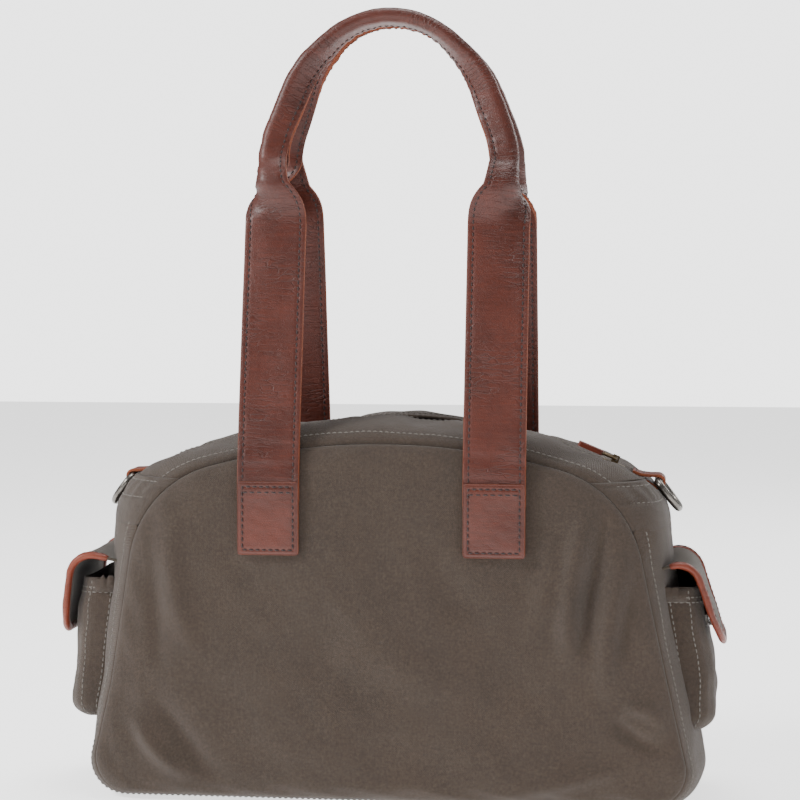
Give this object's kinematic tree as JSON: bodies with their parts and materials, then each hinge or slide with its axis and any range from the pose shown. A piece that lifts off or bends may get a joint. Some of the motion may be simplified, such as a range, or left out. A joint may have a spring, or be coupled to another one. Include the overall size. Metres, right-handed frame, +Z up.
{
  "type": "satchel bag",
  "caption": "Dome-shaped canvas bag with a zip top, two rolled leather handles, flap pockets on its ends and a strap ring beside each end of the zip.",
  "frame": {"origin": "on the floor, under the middle of the bag", "axes": "+Z up, -Y out of the front panel, +X to the right of someone who faces the front panel"},
  "size_m": [0.4156, 0.139, 0.5034],
  "materials": {
    "canvas": "matt waxed plain-weave cotton canvas",
    "lining": "plain cotton twill",
    "leather": "oiled pull-up leather with a soft shine",
    "binding_leather": "oiled leather, lighter along the fold",
    "leather_lining": "smooth leather",
    "filler_cord": "twisted cotton",
    "zip_tape": "woven polyester",
    "zip_metal": "antique",
    "dark_nickel": "dark nickel plate",
    "snap_metal": "satin",
    "board": "ribbed sheet"
  },
  "bodies": {
    "bag": {"front_panel": "canvas", "back_panel": "canvas", "side_gusset": "canvas", "left_end_patch": "canvas", "right_end_patch": "canvas", "front_top_band": "canvas", "back_top_band": "canvas", "lining": "lining", "base_board": "board", "zip_stops": "zip_metal", "left_ring_loop": "leather", "right_ring_loop": "leather", "left_pocket": "canvas", "right_pocket": "canvas", "left_snap_socket": "snap_metal", "right_snap_socket": "snap_metal", "front_left_anchor": "leather", "front_right_anchor": "leather", "back_left_anchor": "leather", "back_right_anchor": "leather"},
    "front_lip": {"front_zip_tape": "zip_tape", "front_zip_teeth": "zip_metal"},
    "back_lip": {"back_zip_tape": "zip_tape", "back_zip_teeth": "zip_metal"},
    "zip_slider": {"zip_slider": "dark_nickel"},
    "zip_pull": {"zip_pull_link": "dark_nickel", "zip_pull_tab": "leather"},
    "front_handle": {"front_handle_strap": "leather", "front_handle_inner_ply": "leather_lining", "front_grip_core": "filler_cord"},
    "back_handle": {"back_handle_strap": "leather", "back_handle_inner_ply": "leather_lining", "back_grip_core": "filler_cord"},
    "left_flap": {"left_pocket_flap": "canvas", "left_flap_binding": "binding_leather", "left_snap_stud": "snap_metal"},
    "left_ring": {"left_d_ring": "dark_nickel"},
    "right_flap": {"right_pocket_flap": "canvas", "right_flap_binding": "binding_leather", "right_snap_stud": "snap_metal"},
    "right_ring": {"right_d_ring": "dark_nickel"}
  },
  "joints": [
    {"name": "front_handle_swing", "type": "hinge", "parent": "bag", "child": "front_handle", "pos_m": [0, -0.0695, 0.203], "axis": [1, 0, 0], "range_deg": [0, 135]},
    {"name": "back_handle_swing", "type": "hinge", "parent": "bag", "child": "back_handle", "pos_m": [0, 0.0695, 0.203], "axis": [-1, 0, 0], "range_deg": [0, 135]},
    {"name": "zip_run", "type": "hinge", "parent": "bag", "child": "zip_slider", "pos_m": [0, 0, -0.127], "axis": [0, -1, 0], "range_deg": [0, 41.22]},
    {"name": "zip_pull_swing", "type": "hinge", "parent": "zip_slider", "child": "zip_pull", "pos_m": [0.14206, 0, 0.21377], "axis": [0, 1, 0], "range_deg": [0, 150]},
    {"name": "front_lip_open", "type": "hinge", "parent": "bag", "child": "front_lip", "pos_m": [0, 0, 0.20265], "axis": [1, 0, 0], "range_deg": [0, 60], "deforming": ["front_zip_tape", "front_zip_teeth", "front_top_band"]},
    {"name": "back_lip_open", "type": "hinge", "parent": "bag", "child": "back_lip", "pos_m": [0, 0, 0.20265], "axis": [-1, 0, 0], "range_deg": [0, 60], "deforming": ["back_zip_tape", "back_zip_teeth", "back_top_band"]},
    {"name": "left_flap_lift", "type": "hinge", "parent": "bag", "child": "left_flap", "pos_m": [-0.18006, 0, 0.152], "axis": [0, 1, 0], "range_deg": [0, 90]},
    {"name": "right_flap_lift", "type": "hinge", "parent": "bag", "child": "right_flap", "pos_m": [0.18006, 0, 0.152], "axis": [0, -1, 0], "range_deg": [0, 90]},
    {"name": "left_ring_swing", "type": "hinge", "parent": "bag", "child": "left_ring", "pos_m": [-0.169, 0, 0.2], "axis": [0, 1, 0], "range_deg": [0, 130]},
    {"name": "right_ring_swing", "type": "hinge", "parent": "bag", "child": "right_ring", "pos_m": [0.169, 0, 0.2], "axis": [0, -1, 0], "range_deg": [0, 130]}
  ],
  "couplings": [
    {"joint": "front_lip_open", "follows": "zip_run", "ratio": 1.4556},
    {"joint": "back_lip_open", "follows": "zip_run", "ratio": 1.4556}
  ]
}
